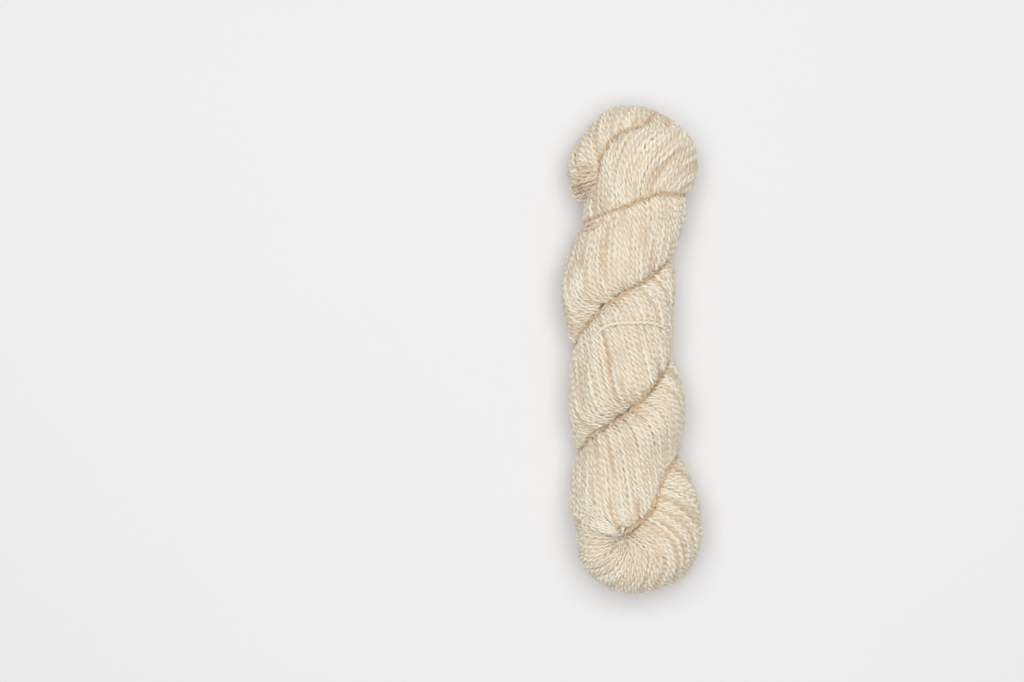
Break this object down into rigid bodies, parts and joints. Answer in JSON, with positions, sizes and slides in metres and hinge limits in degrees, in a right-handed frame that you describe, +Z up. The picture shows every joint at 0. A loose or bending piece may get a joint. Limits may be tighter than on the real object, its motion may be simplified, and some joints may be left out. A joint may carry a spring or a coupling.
{
  "type": "yarn hank",
  "caption": "Cream plied wool yarn for knitting, wound as a twisted hank that lies on its side, its halves wound round each other from a looped foot to a tucked top.",
  "frame": {"origin": "on the surface that the hank lies on, under the middle of its bounding box", "axes": "+Z up, +Y along the hank from its looped foot to its tucked top, +X to the right with +Y pointing away"},
  "size_m": [0.0726, 0.2508, 0.0511],
  "materials": {
    "wool": "matte cream wool"
  },
  "bodies": {
    "root": {"hank": "wool"}
  },
  "joints": []
}
